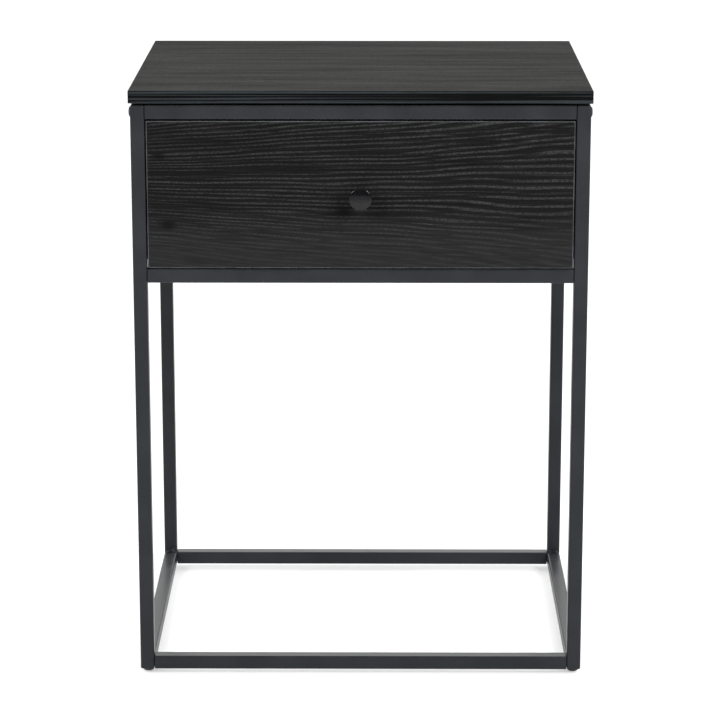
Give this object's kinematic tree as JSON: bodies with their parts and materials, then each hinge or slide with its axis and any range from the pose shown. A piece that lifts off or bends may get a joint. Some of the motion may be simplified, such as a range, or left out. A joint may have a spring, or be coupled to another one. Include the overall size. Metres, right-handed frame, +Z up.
{
  "type": "side table with drawer",
  "caption": "Tall open side table: a square steel tube frame carries a black ash look board top and an inset drawer with a round knob, on roller slides.",
  "frame": {"origin": "on the floor, below the centre of the whole table's box, the knob included", "axes": "+Z up; -Y out of the drawer's front, the way it opens; +X to the right of a person who faces the drawer"},
  "size_m": [0.45, 0.3714, 0.598],
  "materials": {
    "board": "black ash look foil on board, satin, with fine grain",
    "coat": "black powder coat, satin, fine texture",
    "bolt": "black oxide, satin",
    "knob": "black, gloss",
    "plastic": "black, moulded",
    "roller": "white nylon",
    "zinc": "zinc plated",
    "drawer_box": "dark foil on board",
    "drawer_floor": "dark hardboard"
  },
  "bodies": {
    "table": {"back_panel": "board", "board_screw_front_left": "zinc", "board_screw_front_right": "zinc", "board_screw_rear_left": "zinc", "board_screw_rear_right": "zinc", "bolt_bottom_front_left": "bolt", "bolt_bottom_front_right": "bolt", "bolt_bottom_rear_left": "bolt", "bolt_bottom_rear_right": "bolt", "bolt_drawer_front_left": "bolt", "bolt_drawer_front_right": "bolt", "bolt_drawer_rear_left": "bolt", "bolt_drawer_rear_right": "bolt", "bolt_top_front_left": "bolt", "bolt_top_front_right": "bolt", "bolt_top_rear_left": "bolt", "bolt_top_rear_right": "bolt", "cabinet_runner_left": "zinc", "cabinet_runner_right": "zinc", "foot_front_left": "plastic", "foot_front_right": "plastic", "foot_rear_left": "plastic", "foot_rear_right": "plastic", "front_bottom_rail": "coat", "front_drawer_rail": "coat", "front_top_rail": "coat", "leg_front_left": "coat", "leg_front_right": "coat", "leg_rear_left": "coat", "leg_rear_right": "coat", "rear_bottom_rail": "coat", "rear_drawer_rail": "coat", "rear_top_rail": "coat", "side_bottom_rail_left": "coat", "side_bottom_rail_right": "coat", "side_drawer_rail_left": "coat", "side_drawer_rail_right": "coat", "side_panel_left": "board", "side_panel_right": "board", "side_top_rail_left": "coat", "side_top_rail_right": "coat", "spacer_front_left": "plastic", "spacer_front_right": "plastic", "spacer_rear_left": "plastic", "spacer_rear_right": "plastic", "top_board": "board"},
    "drawer": {"drawer_back": "drawer_box", "drawer_bottom": "drawer_floor", "drawer_front": "board", "drawer_runner_left": "zinc", "drawer_runner_right": "zinc", "drawer_side_left": "drawer_box", "drawer_side_right": "drawer_box", "knob": "knob", "knob_screw": "zinc"},
    "left_cabinet_roller": {"cabinet_roller_left": "roller"},
    "left_drawer_roller": {"drawer_roller_left": "roller"},
    "right_cabinet_roller": {"cabinet_roller_right": "roller"},
    "right_drawer_roller": {"drawer_roller_right": "roller"}
  },
  "joints": [
    {"name": "drawer_slide", "type": "slide", "parent": "table", "child": "drawer", "axis": [0, -1, 0], "range_m": [0, 0.22]},
    {"name": "left_cabinet_roller_turn", "type": "hinge", "parent": "table", "child": "left_cabinet_roller", "pos_m": [-0.2052, -0.13735, 0.43835], "axis": [1, 0, 0], "range_deg": [0, 1402]},
    {"name": "left_drawer_roller_turn", "type": "hinge", "parent": "drawer", "child": "left_drawer_roller", "pos_m": [-0.2029, 0.14465, 0.43835], "axis": [1, 0, 0], "range_deg": [0, 1402]},
    {"name": "right_cabinet_roller_turn", "type": "hinge", "parent": "table", "child": "right_cabinet_roller", "pos_m": [0.2052, -0.13735, 0.43835], "axis": [1, 0, 0], "range_deg": [0, 1402]},
    {"name": "right_drawer_roller_turn", "type": "hinge", "parent": "drawer", "child": "right_drawer_roller", "pos_m": [0.2029, 0.14465, 0.43835], "axis": [1, 0, 0], "range_deg": [0, 1402]}
  ],
  "couplings": [
    {"joint": "left_cabinet_roller_turn", "follows": "drawer_slide", "rad_per_m": 111.11},
    {"joint": "left_drawer_roller_turn", "follows": "drawer_slide", "rad_per_m": 111.11},
    {"joint": "right_cabinet_roller_turn", "follows": "drawer_slide", "rad_per_m": 111.11},
    {"joint": "right_drawer_roller_turn", "follows": "drawer_slide", "rad_per_m": 111.11}
  ]
}
